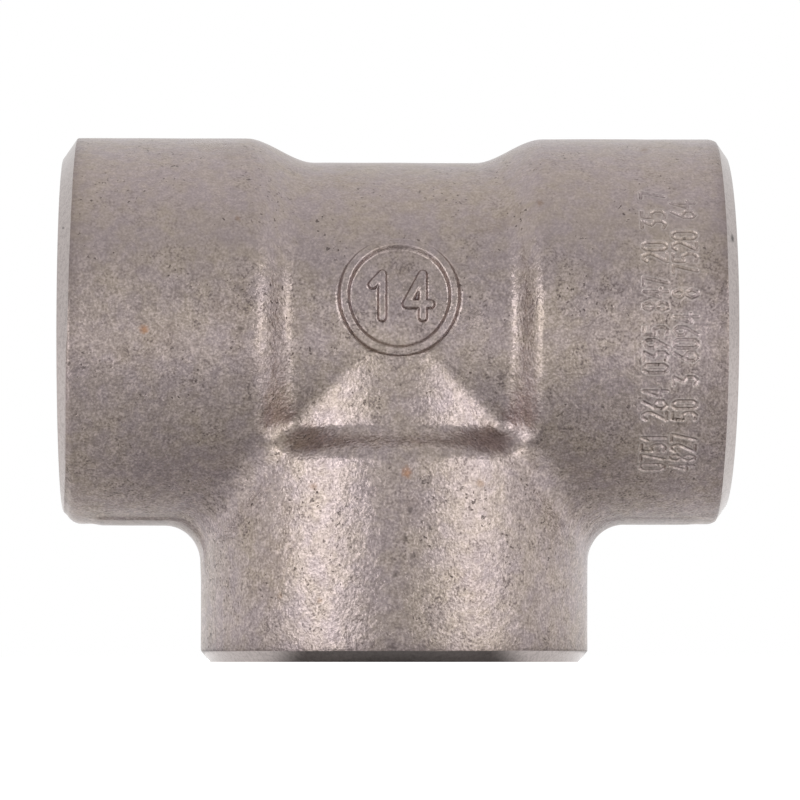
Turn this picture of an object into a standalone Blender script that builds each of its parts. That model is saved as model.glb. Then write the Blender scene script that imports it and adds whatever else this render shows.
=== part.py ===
"""Forged pipe tee with three tapered sockets, one solid, standing on the face of its branch.

Metres, +Z up. The run lies along X, the branch hangs down from it along -Z, and the origin is the
centre of the branch's end face. The form is made as three arms, each a grid of rows along the arm
and columns round it. The arms meet on the 45 degree mitre between run and branch, outside on the
forged skin and inside on the waterway, so their grids share those edges.
"""

import math

import bmesh
import bpy
import numpy as np

# Forging, driving dimensions in metres
CENTRE_TO_END = 0.033  # crossing of the axes to each of the three end faces
BAND_DIAMETER = 0.0386  # the round band over each socket
CROTCH_FILLET = 0.0037  # radius in the inner corner between run and branch
PANEL_DEPTH = 0.0024  # how far the sunk panel in the middle lies below the bands
PANEL_FILLET = 0.0022  # radius in the inner corner of the panel's own crossed bars
TOP_STEP_MIDDLE = 0.0114  # branch axis to the middle of the step from panel to band, over the top
TOP_STEP_HALF = 0.0034  # half the length of that step
FRONT_STEP_MIDDLE = 0.0122  # the same step on the front and back, where it is steeper
FRONT_STEP_HALF = 0.0020
SHELF_MIDDLE = 0.0118  # run axis down to the middle of the step from the panel out to the branch
SHELF_HALF = 0.00165
SHELF_START_SLOPE = 0.8  # slope of the shelf's profile at its crisp upper edge
SHELF_STEEPEST = 0.45  # where that profile is steepest, as a share of its length
PANEL_CORNER = 2.0  # corner radius of the panel's outline, in half lengths of its step, at least 1

# Turned ends
CHAMFER_HEIGHT = 0.0017  # measured outwards on the end face
CHAMFER_ANGLE = math.radians(35.0)  # from the end face
CORNER_RADIUS = 0.0015  # forged corner between band and chamfer

# Sockets and waterway
THREAD_CORE_DIAMETER = 0.01832  # inside the thread's crests, at the end face
THREAD_HEIGHT = 0.00145
THREAD_TAPER = 1.0 / 16.0  # on the diameter
COUNTERSINK_MARGIN = 0.0003  # countersink radius beyond the thread's root
COUNTERSINK_ANGLE = math.radians(45.0)  # from the axis
SOCKET_DEPTH = 0.019
DRILL_POINT_ANGLE = math.radians(118.0)
WATERWAY_DIAMETER = 0.0158

# Sizes that follow from those
BAND_RADIUS = BAND_DIAMETER / 2
PANEL_RADIUS = BAND_RADIUS - PANEL_DEPTH
RIM_RADIUS = BAND_RADIUS - CHAMFER_HEIGHT
CORE_RADIUS = THREAD_CORE_DIAMETER / 2
COUNTERSINK_RADIUS = CORE_RADIUS + THREAD_HEIGHT + COUNTERSINK_MARGIN
WATERWAY_RADIUS = WATERWAY_DIAMETER / 2

# Grid
COLUMNS = 72  # a multiple of four, so that columns fall on all the mitre's ends
COLUMN_CROWDING = 0.4  # how much closer the columns stand near 45 degrees, at the panel's corners
LEAD_ROWS = 4  # from the mitre to the panel's step
STEP_ROWS = 11
BAND_ROWS = 3  # from the step to the rounded corner
CORNER_ROWS = 3
LEAD_LEAST = 0.0005  # length of the lead and of the step rows where the mitre starts beyond them
STEP_LEAST = 0.0030
RAY_TURN = 0.007  # length over which the rays turn from the mitre to square with the arm
RAY_FOOT = 0.6  # where the mitre's rays start, as a share of the way from the crossing of the axes
WELD = 1e-7
SHARP_EDGE = math.radians(32.0)

STEEL_COLOUR = (0.36, 0.32, 0.29, 1.0)


def run_step(front):
    """Middle and half length of the run's step, from over the top (0) to the front or back (1)."""
    middle = TOP_STEP_MIDDLE + (FRONT_STEP_MIDDLE - TOP_STEP_MIDDLE) * front
    return middle, TOP_STEP_HALF + (FRONT_STEP_HALF - TOP_STEP_HALF) * front


def crossed_bars(x, y, z, radius, fillet):
    """Below zero inside two plain bars, joined by a rolling ball in their inner corner.

    The ball touches both bars. With the cosine of the angle between their normals, the distances
    to the two bars give how far a point is from the ball's centre.
    """
    run_radius = np.hypot(y, z)
    branch_radius = np.maximum(np.hypot(x, y), WELD)
    to_run = run_radius - radius
    to_branch = np.maximum(branch_radius - radius, z)
    cosine = y**2 / (run_radius * branch_radius)
    under_run = fillet - to_run
    under_branch = fillet - to_branch
    in_corner = (under_run > cosine * under_branch) & (under_branch > cosine * under_run)
    square = under_run**2 + under_branch**2 - 2 * cosine * under_run * under_branch
    from_centre = np.sqrt(np.maximum(square, 0.0) / np.maximum(1 - cosine**2, 1e-9))
    return np.where(in_corner, fillet - from_centre, np.minimum(to_run, to_branch))


def shelf_profile(share):
    """The shelf's rise from 0 to 1. It starts with a slope, grows to its steepest and ends level."""
    steepest = 2 - SHELF_START_SLOPE * SHELF_STEEPEST
    growth = (steepest - SHELF_START_SLOPE) / (2 * SHELF_STEEPEST)
    rising = SHELF_START_SLOPE * share + growth * share**2
    easing = 1 - steepest * (1 - share) ** 2 / (2 * (1 - SHELF_STEEPEST))
    return np.where(share < SHELF_STEEPEST, rising, easing)


def outside_panel(x, y, z):
    """From 0 on the sunk panel to 1 beyond its step, across the panel's rounded outline.

    The rise is a cubic at the sides and the shelf's profile below, mixed round the corners.
    """
    middle, half = run_step(y**2 / (y**2 + z**2))
    beside = np.maximum((np.abs(x) - middle) / half + PANEL_CORNER, 0.0)
    below = np.maximum((-z - SHELF_MIDDLE) / SHELF_HALF + PANEL_CORNER, 0.0)
    share = np.clip((np.hypot(beside, below) - PANEL_CORNER + 1) / 2, 0.0, 1.0)
    on_shelf = below**2 / np.maximum(beside**2 + below**2, WELD)
    side_rise = share * share * (3 - 2 * share)
    return side_rise + on_shelf * (shelf_profile(share) - side_rise)


def skin(x, y, z):
    """Below zero inside the forging: crossed bars, sunk to thinner crossed bars in the panel."""
    share = outside_panel(x, y, z)
    outer = crossed_bars(x, y, z, BAND_RADIUS, CROTCH_FILLET)
    return share * outer + (1 - share) * crossed_bars(x, y, z, PANEL_RADIUS, PANEL_FILLET)


def place(arm, along, across, up):
    """Arm coordinates to X, Y, Z measured from the crossing of the axes."""
    if arm == "branch":
        return up, across, -along
    return (along if arm == "right" else -along), across, up


def column_angles():
    """Angles of the columns from the top, mirrored in both axes as the mitres need."""
    even = np.arange(COLUMNS) * (2 * math.pi / COLUMNS)
    return even + COLUMN_CROWDING / 4 * np.sin(4 * even)


def mitre_length(arm, radius):
    """Where each column of an arm starts: on the mitre with its neighbour, or at the middle."""
    up = radius * np.cos(column_angles())
    return np.abs(up) if arm == "branch" else np.maximum(-up, 0.0)


def row_lengths(arm, start, end):
    """Distances along the arm of the skin's rows, with their own rows on the step of each column."""
    if arm == "branch":
        middle, half = SHELF_MIDDLE, SHELF_HALF
    else:
        middle, half = run_step(np.sin(column_angles()) ** 2)
    step_start = np.maximum(middle - half, start + LEAD_LEAST)
    step_end = np.maximum(middle + half, step_start + STEP_LEAST)
    lead = np.linspace(start, step_start, LEAD_ROWS, endpoint=False)
    step = np.linspace(step_start, step_end, STEP_ROWS, endpoint=False)
    return np.concatenate((lead, step, np.linspace(step_end, end, BAND_ROWS + 1)))


def skin_rows(arm, end):
    """Rows of points on the forged skin, from the mitre to a distance along the arm.

    Each point is found by halving on a ray that goes from a foot through a plain bar. Away from
    the mitre the foot lies on the arm's axis. On the mitre it lies in the middle plane of the
    tee, on the diagonal between the axes, so neighbouring arms find the same points.
    """
    start = mitre_length(arm, BAND_RADIUS)
    along = row_lengths(arm, start, np.full(COLUMNS, end))
    across = np.broadcast_to(BAND_RADIUS * np.sin(column_angles()), along.shape)
    up = np.broadcast_to(BAND_RADIUS * np.cos(column_angles()), along.shape)
    turned = np.clip(1 - (along - start) / RAY_TURN, 0.0, 1.0) ** 2
    foot = along - turned * start * (1 - RAY_FOOT)
    foot_up = turned * RAY_FOOT * np.where(start > 0, up, 0.0)

    def on_ray(reach):
        aside = foot_up + reach * (up - foot_up)
        return place(arm, foot + reach * (along - foot), reach * across, aside)

    low = np.full(along.shape, 0.4)
    high = np.full(along.shape, 1.8)
    for _ in range(50):
        middle = (low + high) / 2
        inside = skin(*on_ray(middle)) < 0
        low = np.where(inside, middle, low)
        high = np.where(inside, high, middle)
    return np.stack(on_ray(low), axis=-1)


def chamfer_start():
    """How far along the arm the rounded corner leaves the band."""
    chamfer_meets_band = CENTRE_TO_END - CHAMFER_HEIGHT * math.tan(CHAMFER_ANGLE)
    turn = math.pi / 2 - CHAMFER_ANGLE
    return chamfer_meets_band - CORNER_RADIUS * math.tan(turn / 2)


def turned_profile():
    """The turned end and its socket as (along, radius), from the band to the waterway."""
    turn = math.pi / 2 - CHAMFER_ANGLE
    profile = []
    for row in range(1, CORNER_ROWS + 1):
        angle = turn * row / CORNER_ROWS
        along = chamfer_start() + CORNER_RADIUS * math.sin(angle)
        profile.append((along, BAND_RADIUS - CORNER_RADIUS * (1 - math.cos(angle))))
    profile.append((CENTRE_TO_END, RIM_RADIUS))
    profile.append((CENTRE_TO_END, COUNTERSINK_RADIUS))
    countersink_depth = (COUNTERSINK_RADIUS - CORE_RADIUS) / math.tan(COUNTERSINK_ANGLE)
    core_at_depth = CORE_RADIUS - countersink_depth * THREAD_TAPER / 2
    profile.append((CENTRE_TO_END - countersink_depth, core_at_depth))
    core_at_bottom = CORE_RADIUS - SOCKET_DEPTH * THREAD_TAPER / 2
    profile.append((CENTRE_TO_END - SOCKET_DEPTH, core_at_bottom))
    shoulder = (core_at_bottom - WATERWAY_RADIUS) / math.tan(DRILL_POINT_ANGLE / 2)
    profile.append((CENTRE_TO_END - SOCKET_DEPTH - shoulder, WATERWAY_RADIUS))
    return profile


def turned_rows(arm):
    """Each point of the profile carried round the arm's axis."""
    rows = []
    for along, radius in turned_profile():
        across = radius * np.sin(column_angles())
        up = radius * np.cos(column_angles())
        rows.append(np.stack(place(arm, np.full(COLUMNS, along), across, up), axis=-1))
    return np.stack(rows)


def waterway_row(arm):
    """The inner mitre, where the bores of the three arms meet."""
    across = WATERWAY_RADIUS * np.sin(column_angles())
    up = WATERWAY_RADIUS * np.cos(column_angles())
    return np.stack(place(arm, mitre_length(arm, WATERWAY_RADIUS), across, up), axis=-1)[None]


def arm_grid(arm):
    """All the rows of one arm, from the outer mitre round the end face to the inner mitre."""
    return np.concatenate((skin_rows(arm, chamfer_start()), turned_rows(arm), waterway_row(arm)))


def add_grid(form, rows):
    """Bridge each row of points to the next with quads."""
    rings = []
    for row in rows:
        rings.append([form.verts.new((x, y, z + CENTRE_TO_END)) for x, y, z in row])
    for ring, next_ring in zip(rings, rings[1:]):
        for column in range(COLUMNS):
            beside = (column + 1) % COLUMNS
            form.faces.new((ring[column], ring[beside], next_ring[beside], next_ring[column]))


def steel():
    material = bpy.data.materials.new("forged_steel")
    material.use_nodes = True
    shader = material.node_tree.nodes["Principled BSDF"]
    shader.inputs["Base Color"].default_value = STEEL_COLOUR
    shader.inputs["Metallic"].default_value = 1.0
    shader.inputs["Roughness"].default_value = 0.45
    return material


def build_tee():
    form = bmesh.new()
    for arm in ("right", "left", "branch"):
        add_grid(form, arm_grid(arm))
    bmesh.ops.remove_doubles(form, verts=form.verts, dist=WELD)
    bmesh.ops.recalc_face_normals(form, faces=form.faces)
    mesh = bpy.data.meshes.new("tee_body")
    form.to_mesh(mesh)
    form.free()
    mesh.shade_smooth()
    mesh.set_sharp_from_angle(angle=SHARP_EDGE)
    mesh.materials.append(steel())
    bpy.context.scene.collection.objects.link(bpy.data.objects.new("tee_body", mesh))


def main():
    for thing in list(bpy.data.objects):
        bpy.data.objects.remove(thing)
    build_tee()


main()
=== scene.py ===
"""Looks of the forged pipe tee: its skin on a fine grid, its tapered threads and its finishes.

Metres, +Z up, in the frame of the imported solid, which stands on the face of its branch. The form
is worked out from the crossing of the axes as three arms, each with rows along the arm and
columns round it. The arms meet on the 45 degree mitre between run and branch.
"""

import math

import bmesh
import bpy
import numpy as np
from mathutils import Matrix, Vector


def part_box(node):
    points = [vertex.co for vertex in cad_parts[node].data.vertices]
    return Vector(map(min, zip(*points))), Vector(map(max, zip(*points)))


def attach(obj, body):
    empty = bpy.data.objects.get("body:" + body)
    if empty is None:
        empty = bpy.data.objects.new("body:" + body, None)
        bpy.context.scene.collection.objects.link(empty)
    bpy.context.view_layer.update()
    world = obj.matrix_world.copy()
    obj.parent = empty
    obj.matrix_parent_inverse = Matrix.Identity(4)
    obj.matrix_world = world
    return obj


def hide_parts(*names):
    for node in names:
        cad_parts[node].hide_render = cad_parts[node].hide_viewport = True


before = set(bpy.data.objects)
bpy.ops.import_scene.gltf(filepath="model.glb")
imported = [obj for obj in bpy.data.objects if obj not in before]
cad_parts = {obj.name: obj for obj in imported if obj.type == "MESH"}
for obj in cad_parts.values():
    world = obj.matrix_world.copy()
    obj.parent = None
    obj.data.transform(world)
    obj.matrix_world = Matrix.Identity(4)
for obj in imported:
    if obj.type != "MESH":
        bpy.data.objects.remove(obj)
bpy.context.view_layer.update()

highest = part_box("tee_body")[1]

MM = 0.001
INCH = 25.4 * MM

# Forging
CENTRE_TO_END = highest.x
BAND_RADIUS = highest.y
AXIS_HEIGHT = highest.z - highest.y
CROTCH_FILLET = 3.7 * MM
PANEL_DEPTH = 2.4 * MM
PANEL_RADIUS = BAND_RADIUS - PANEL_DEPTH
SHELF_MIDDLE = 11.95 * MM
SHELF_HALF = 1.8 * MM
SHELF_START_SLOPE = 0.6
SHELF_STEEPEST = 0.45
PANEL_CORNER = 1.4
PANEL_FILLET = 2.2 * MM

# Steps of the run, each a narrow and a wide part: middle and half length of both, in millimetres
TOP_STEP = (11.4, 3.4, 11.4, 3.4)
LEFT_FRONT_STEP = (11.88, 1.75, 12.6, 2.7)
RIGHT_FRONT_STEP = (12.45, 1.5, 12.8, 2.2)
WIDE_SHARE = 0.25

# Turned ends
CHAMFER_WIDTH = {"left": 1.7 * MM, "right": 1.7 * MM, "branch": 0.95 * MM}
CHAMFER_ANGLE = {"left": math.radians(35), "right": math.radians(35), "branch": math.radians(50)}
CHAMFER_LOWERED = {"left": 0.4 * MM, "right": 0.0, "branch": 0.0}
TOP_CORNER_RADIUS = {"left": 1.6 * MM, "right": 1.6 * MM, "branch": 0.5 * MM}
FRONT_CORNER_RADIUS = 0.3 * MM
FRONT_CORNER_POWER = 6
CORNER_LEAD = 0.77
CORNER_ARC_SHARE = 0.95
END_LENGTH = 2.6 * MM
END_ZONE = CENTRE_TO_END - END_LENGTH

# Sockets, half inch tapered pipe thread, and waterway
CORE_RADIUS = 9.16 * MM
THREAD_HEIGHT = 1.45 * MM
THREADS_PER_INCH = 14
THREAD_PITCH = INCH / THREADS_PER_INCH
THREAD_SLOPE = 1 / 32
THREAD_FADES_FROM = 14.5 * MM
THREAD_ENDS = 17.5 * MM
COUNTERSINK_OVER_ROOT = 0.3 * MM
COUNTERSINK_RADIUS = CORE_RADIUS + THREAD_HEIGHT + COUNTERSINK_OVER_ROOT
SOCKET_DEPTH = 19.0 * MM
WATERWAY_RADIUS = 7.9 * MM
DRILL_POINT_ANGLE = math.radians(118.0)

# One thread over a pitch, from root to root, as (share of the pitch, share of the height)
THREAD_PROFILE = ((0.0, 1.0), (0.04, 1.0), (0.27, 0.5), (0.5, 0.0), (0.54, 0.0), (0.77, 0.5), (1.0, 1.0))

# Grid
SKIN_COLUMNS = 288
SOCKET_COLUMNS = SKIN_COLUMNS // 3
LEAD_ROWS = 20
STEP_ROWS = 17
BAND_ROWS = 30
CORNER_ROWS = 9
CHAMFER_ROWS = 4
BORE_ROWS = 5
LEAD_LEAST = 3.0 * MM
STEP_LEAST = 4.5 * MM
RAY_TURN = 7.0 * MM
RAY_FOOT = 0.6
RAY_REACH = (0.4, 1.8)
HALVINGS = 50
SLOPE_STEP = 0.01 * MM
WELD = 1e-7
LEAST_DIVISOR = 1e-7
LEAST_SINE_SQUARED = 1e-9
SHARP_EDGE = math.radians(32.0)

# Material numbers of the tee's faces
FORGED, TURNED, THREADED, BORED = range(4)

# Waves of the forged skin, all inwards, as (size of a cell, height, seed)
LATTICE = 64
WAVES = ((5.0 * MM, 0.05 * MM, 11), (2.1 * MM, 0.022 * MM, 12))

# Darker skin: how far it reaches from a turned end, and its share on the land of the trimmed flash,
# whose edge is darkest as painted shade
EDGE_DARK_REACH = 0.7 * MM
LAND_DARK = 0.7

# Land of the trimmed flash, along the parting plane under the run and down the branch's sides
LAND_HALF = 4.4 * MM
LAND_EDGE = 0.45 * MM
LAND_HEIGHT_LEFT = 0.16 * MM
LAND_HEIGHT_RIGHT = 0.05 * MM
LAND_BELOW = (8.0 * MM, 12.0 * MM)
LAND_FADES_ON_RUN = (29.0 * MM, 30.3 * MM)
LAND_FADES_ON_BRANCH = (20.5 * MM, 25.5 * MM)

# Raised plate in the middle of the panel: a rim round two plain figures
PLATE_X = 0.1 * MM
PLATE_ABOVE_AXIS = 2.4 * MM
PLATE_RADIUS = 6.4 * MM
RIM_MIDDLE = 5.35 * MM
PLATE_TEXT = "14"
PLATE_FIGURE = 2.1 * MM
PLATE_PITCH = 3.5 * MM
RIM_LINE = (0.26 * MM, 0.42 * MM)
FIGURE_LINE = (0.24 * MM, 0.32 * MM)
RIM_RISE = 0.62 * MM
FIGURE_RISE = 0.46 * MM
PLATE_FLOOR = 0.05 * MM
PLATE_FLARE_FROM = 6.05 * MM
PLATE_FLARE = 0.2 * MM
PLATE_BACK = 0.8 * MM
PLATE_HUB = 0.02 * MM
PLATE_COLUMNS = 360
PLATE_ROWS = 64

# Plain figures stamped on the right band, in lines that run up round it, as (X, start of the arc, text)
STAMP_LINES = (
    (25.95 * MM, -16.2 * MM, "0751 264 0395 847 20 35 7"),
    (28.85 * MM, -16.2 * MM, "4827 50 3 6094 8 7520 64"),
)
STAMP_FIGURE = (0.8 * MM, 1.15 * MM)
STAMP_PITCH = 1.22 * MM
STAMP_DEPTH = 0.11 * MM
STAMP_BURR = 0.025 * MM
GROOVE_LINE = (0.06 * MM, 0.12 * MM)
BURR_LINE = (0.02 * MM, 0.08 * MM)
BURR_BESIDE = 0.25 * MM
BURR_RUBBED = 0.7
STAMP_X = (22.6 * MM, 30.0 * MM)
STAMP_ARC = (-17.4 * MM, 15.4 * MM)
STAMP_BORDER = 0.35 * MM
STAMP_BED = 0.16 * MM
STAMP_MARGIN = 0.8 * MM
STAMP_GRID = 0.07 * MM
STAMP_OVER_SKIN = 0.004 * MM
STAMP_BORDER_DIP = 0.012 * MM
STAMP_BACK = 0.7 * MM

# Lines of each figure, one wide and two tall
FIGURE_LINES = {
    "0": (((0, 0.3), (0, 1.7), (0.3, 2), (0.7, 2), (1, 1.7), (1, 0.3), (0.7, 0), (0.3, 0), (0, 0.3)),),
    "1": (((0.1, 1.5), (0.55, 2), (0.55, 0)),),
    "2": (((0, 1.7), (0.3, 2), (0.7, 2), (1, 1.6), (1, 1.3), (0, 0), (1, 0)),),
    "3": (((0, 2), (1, 2), (0.4, 1.2), (1, 0.9), (1, 0.3), (0.6, 0), (0, 0.2)),),
    "4": (((0.75, 0), (0.75, 2), (0, 0.6), (1.1, 0.6)),),
    "5": (((1, 2), (0.1, 2), (0, 1.1), (0.7, 1.2), (1, 0.8), (1, 0.3), (0.6, 0), (0, 0.1)),),
    "6": (((0.9, 2), (0, 0.9), (0, 0.3), (0.4, 0), (1, 0.3), (1, 0.8), (0.4, 1.1), (0, 0.8)),),
    "7": (((0, 2), (1, 2), (0.3, 0)),),
    "8": (((0.5, 1.1), (0, 1.5), (0.3, 2), (0.7, 2), (1, 1.5), (0.5, 1.1)),
          ((0.5, 1.1), (0, 0.5), (0.3, 0), (0.7, 0), (1, 0.5), (0.5, 1.1))),
    "9": (((0.1, 0), (1, 1.1), (1, 1.7), (0.6, 2), (0, 1.7), (0, 1.2), (0.6, 0.9), (1, 1.2)),),
}

# Spots on the skin and the chamfers that the photograph shows, as (centre, size) in millimetres
RUST_SPOTS = (
    ((0.75, -19.2, 18.2), (0.6, 1.5, 0.8)),
    ((-24.5, -19.2, 32.0), (0.55, 1.5, 0.6)),
)
BROWN_SPOTS = (
    ((7.9, -17.6, 17.2), (0.6, 1.5, 0.5)),
    ((24.5, -8.1, 50.5), (0.6, 1.5, 0.6)),
    ((13.8, -15.4, 44.6), (0.5, 1.5, 0.5)),
    ((-11.4, -15.6, 6.4), (0.4, 1.5, 0.4)),
    ((-8.2, -17.5, 16.9), (0.5, 1.5, 0.5)),
    ((-15.5, -16.6, 42.9), (0.4, 1.5, 0.4)),
    ((11.7, -13.8, 46.3), (0.4, 1.5, 0.4)),
    ((-7.6, -17.7, 5.9), (0.45, 1.5, 0.4)),
)
CHAMFER_MARKS = (
    ((32.45, -16.7, 41.1), (0.25, 1.0, 0.7)),
    ((-32.5, -16.2, 42.0), (0.2, 1.0, 0.2)),
)
DARK_SPOTS = (
    ((1.1, -19.2, 14.6), (0.35, 1.5, 0.5)),
    ((0.6, -19.2, 11.9), (0.3, 1.5, 0.6)),
    ((1.4, -19.2, 10.2), (0.3, 1.5, 0.4)),
    ((-0.3, -19.2, 8.3), (0.3, 1.5, 0.3)),
    ((-0.6, -19.2, 1.5), (0.8, 1.5, 0.35)),
    ((-15.3, -19.2, 32.0), (0.4, 1.5, 0.4)),
    ((-27.7, -15.6, 49.3), (0.25, 1.5, 0.25)),
)

# Noises, as (size of a grain, octaves, roughness), and the values between which an effect comes in
FALLING = (1.0, 0.0)
FINE_GRAIN = (0.24 * MM, 2.0, 0.6)
MIDDLE_GRAIN = (0.50 * MM, 1.0, 0.5)
COARSE_GRAIN = (1.6 * MM, 2.0, 0.5)
COARSE_RISE = 1.6
GRAIN_DEPTH = 0.05 * MM
PINHOLES = (0.42 * MM, 1.0, 0.5)
PINHOLES_IN = (0.66, 0.72)
PINHOLE_CLOUDS = (4.0 * MM, 2.0, 0.5)
PINHOLE_CLOUDS_IN = (0.48, 0.64)
PINHOLE_RISE = -0.8
PINHOLE_SHARE = 0.7
SPECKLE = (0.24 * MM, 1.0, 0.5)
MOTTLE = (0.75 * MM, 1.0, 0.5)
MOTTLE_SHARE = 0.5
DARK_SPECKLE_IN = (0.27, 0.50)
LIGHT_SPECKLE_IN = (0.50, 0.73)
LIGHT_SPECKLE_SHARE = 0.40
DARK_CLUSTERS = (3.5 * MM, 3.0, 0.6)
DARK_CLUSTERS_IN = (0.50, 0.66)
DARK_CLUSTERS_SHARE = (0.40, 0.85)
SPECKLE_WEAKENS = (35.0 * MM, 43.0 * MM)
SPECKLE_STRENGTH = (1.0, 0.45)
TAN_CLOUDS = (7.0 * MM, 3.0, 0.55)
TAN_CLOUDS_IN = (0.40, 0.66)
TAN_PATCHES = (2.0 * MM, 3.0, 0.6)
TAN_PATCHES_IN = (0.38, 0.62)
TAN_PATCHES_SHARE = 0.5
BROWN_CLOUDS = (9.0 * MM, 4.0, 0.6)
BROWN_CLOUDS_IN = (0.56, 0.68)
BROWN_CLOUDS_SHARE = (0.0, 0.22)
GLOSS_CLOUDS_IN = (0.3, 0.7)
GLOSS_ROUGHNESS = (0.27, 0.33)
STAIN_EDGE = (0.45 * MM, 3.0, 0.6)
STAIN_RAGGED = 1.2
STAIN_FADES = (0.7, 1.7)
TOOL_MARKS = (0.35 * MM, 3.0, 0.6)
TOOL_MARKS_IN = (0.3, 0.6)
TOOL_MARK_DEPTH = 0.004 * MM
TOOL_MARK_SHADE = 0.8

# Colours, the share in which a stain, a worn edge or a darkening covers what is under it, and roughness
COOL_STEEL = (0.360, 0.300, 0.300, 1.0)
TAN_STEEL = (0.387, 0.322, 0.278, 1.0)
BROWN_CLOUD = (0.25, 0.19, 0.13, 1.0)
DARK_SPECKLE = (0.145, 0.115, 0.11, 1.0)
LIGHT_SPECKLE = (0.72, 0.60, 0.57, 1.0)
PINHOLE = (0.07, 0.055, 0.05, 1.0)
DARK_SPOT_SHARE = 0.6
RUST = (0.40, 0.18, 0.07, 1.0)
RUST_SHARE = 0.6
BROWN_SPOT = (0.20, 0.12, 0.07, 1.0)
BROWN_SPOT_SHARE = 0.5
CHAMFER_MARK = (0.05, 0.045, 0.04, 1.0)
CHAMFER_MARK_SHARE = 0.85
RUBBED = (0.60, 0.54, 0.51, 1.0)
RUBBED_SHARE = 0.5
# Darker skin by the turned ends, and painted shade on the trimmed land's edge
SHADED = (0.13, 0.103, 0.098, 1.0)
SHADED_SHARE = 0.4
TURNED_STEEL = (0.45, 0.40, 0.385, 1.0)
TURNED_ROUGHNESS = 0.26
THREADED_STEEL = (0.46, 0.43, 0.41, 1.0)
THREADED_ROUGHNESS = 0.30
BORED_STEEL = (0.40, 0.37, 0.35, 1.0)
BORED_ROUGHNESS = 0.35
WHITE = (1.0, 1.0, 1.0, 1.0)

# Backdrop: its white from in front of the tee to behind it, and its share as diffuse light
BACKDROP_TURNS = (-0.9, 0.3)
BACKDROP_WHITE = (0.76, 1.0)
BACKDROP_DIFFUSE = 0.65

# Floor, with its glow away from the tee's shadow, and round the foot painted shade in the crease and a
# painted glow beside it, which only reflections show
FLOOR_HALF = 1.5
FLOOR_ROUGHNESS = 0.35
FLOOR_IOR = 2.0
FLOOR_SHADE = 0.38
FLOOR_GLOW = 0.42
FLOOR_SHADOW_CENTRE = (0.0, -50.0 * MM, 0.0)
FLOOR_SHADOW_FADES = (30.0 * MM, 100.0 * MM)
FLOOR_GRAZING = (0.965, 0.995)
FLOOR_GRAZING_GLOW = 0.6
CREASE_SHADE = 0.10
CREASE_FADES = (19.5 * MM, 22.5 * MM)
BESIDE_FOOT_GLOW = 0.85
BESIDE_FOOT_FROM = (9.0 * MM, 14.0 * MM)
BESIDE_FOOT_FADES = (19.6 * MM, 21.6 * MM)

# Soft boxes, as (azimuth and elevation in degrees, distance, size, radiance, whether reflections show
# it, whether it lights only the floor). Each faces a point above the origin.
SOFT_BOXES = {
    "left soft box": (-44, 2, 0.9, (0.54, 0.56), 2.15, True, False),
    "right soft box": (45, 3, 0.9, (0.54, 0.58), 1.7, True, False),
    "back soft box": (180, 48, 1.0, (1.2, 0.5), 4.5, False, False),
    "left floor box": (-44, 38, 0.9, (0.50, 0.55), 4.75, True, True),
    "right floor box": (45, 38, 0.9, (0.50, 0.55), 5.0, True, True),
}
LAMP_AIM_HEIGHT = 26.0 * MM

# Camera, as the photograph was taken
CAMERA_DISTANCE = 508.4 * MM
CAMERA_AZIMUTH = math.radians(1.36)
CAMERA_HEIGHT = 0.46 * MM
CAMERA_ASIDE = 0.57 * MM
CAMERA_TILT = math.radians(2.892)
CAMERA_LENS = 229.1
CAMERA_SENSOR = 36.0
CAMERA_CLIP = 10.0 * MM


def lattice_noise(points, cell, seed):
    """Values from 0 to 1 that change smoothly over a cell.

    Each corner of a cubic lattice has a random value. A point takes the mean of its eight
    corners, weighted by the cubic 3t^2 - 2t^3 of its place t in the cell on each axis.
    """
    table = np.random.default_rng(seed).random((LATTICE, LATTICE, LATTICE))
    place_in_lattice = points / cell + LATTICE / 2
    corner = np.floor(place_in_lattice).astype(int)
    share = cubic(place_in_lattice - corner)
    total = np.zeros(points.shape[:-1])
    for step in np.ndindex(2, 2, 2):
        weight = np.prod(np.where(step, share, 1 - share), axis=-1)
        i, j, k = np.moveaxis((corner + step) % LATTICE, -1, 0)
        total += weight * table[i, j, k]
    return total


def skin_waves(points):
    """How far the forged skin lies under its nominal surface: a sum of lattice noises."""
    depth = np.zeros(points.shape[:-1])
    for cell, height, seed in WAVES:
        depth += height * lattice_noise(points, cell, seed)
    return depth


def cubic(share):
    """Smooth rise 3t^2 - 2t^3 from 0 to 1, level at both ends."""
    return share * share * (3 - 2 * share)


def ramp(value, ends):
    """Cubic rise from 0 at the first of the ends to 1 at the second."""
    return cubic(np.clip((value - ends[0]) / (ends[1] - ends[0]), 0.0, 1.0))


def trimmed_land(points):
    """Height of the land over the skin, and how dark it is, most at its edge, which is painted shade:
    products of ramps.
    """
    x, y, below = np.abs(points[..., 0]), np.abs(points[..., 1]), -points[..., 2]
    there = ramp(below, LAND_BELOW) - ramp(below, LAND_FADES_ON_BRANCH)
    there = there * (1 - ramp(x, LAND_FADES_ON_RUN))
    on_land = 1 - ramp(y, (LAND_HALF - LAND_EDGE / 2, LAND_HALF + LAND_EDGE / 2))
    edge = 1 - np.clip(np.abs(y - LAND_HALF) / LAND_EDGE, 0.0, 1.0)
    height = np.where(points[..., 0] < 0, LAND_HEIGHT_LEFT, LAND_HEIGHT_RIGHT)
    return height * there * on_land, there * np.maximum(LAND_DARK * on_land, edge)


def run_step(front, right):
    """The four lengths of the run's step, from over the top (0) to the front or back (1)."""
    sides = np.array((LEFT_FRONT_STEP, RIGHT_FRONT_STEP))[np.where(right, 1, 0)]
    lengths = TOP_STEP + (sides - TOP_STEP) * front[..., None]
    return np.moveaxis(lengths * MM, -1, 0)


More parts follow.
